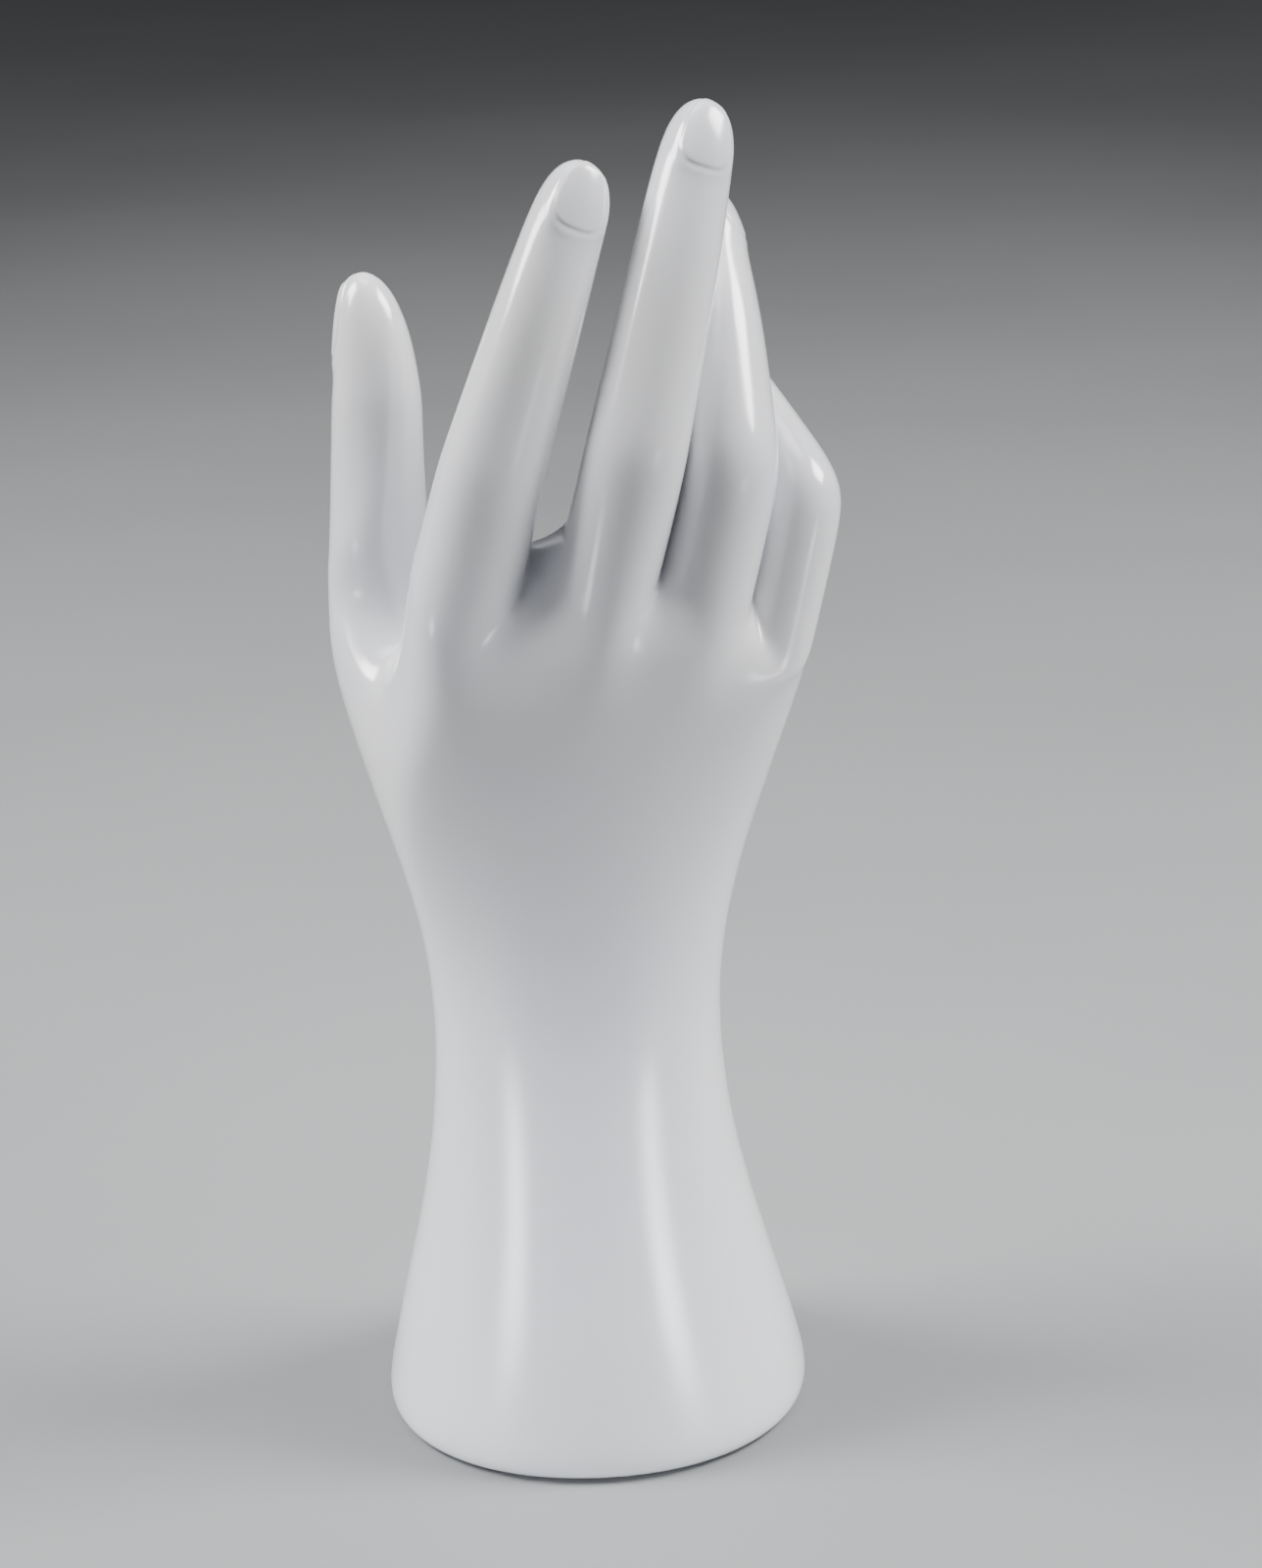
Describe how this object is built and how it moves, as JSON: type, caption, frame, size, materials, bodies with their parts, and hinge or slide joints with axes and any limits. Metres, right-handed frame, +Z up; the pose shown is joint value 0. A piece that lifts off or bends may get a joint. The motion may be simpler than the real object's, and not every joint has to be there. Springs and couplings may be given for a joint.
{
  "type": "jewelry display hand",
  "caption": "Moulded display hand in glossy white on a flared forearm foot, with slender fingers held apart, for showing rings, bracelets and necklaces.",
  "frame": {"origin": "middle of the foot's flat face, on the surface that the hand stands on", "axes": "+Z up along the forearm; the back of the hand faces -Y, the palm +Y; the thumb is on the -X side, the little finger on the +X side"},
  "size_m": [0.0972, 0.0896, 0.248],
  "materials": {
    "white_plastic": "high-gloss moulded white plastic"
  },
  "bodies": {
    "root": {"display_hand": "white_plastic"}
  },
  "joints": []
}
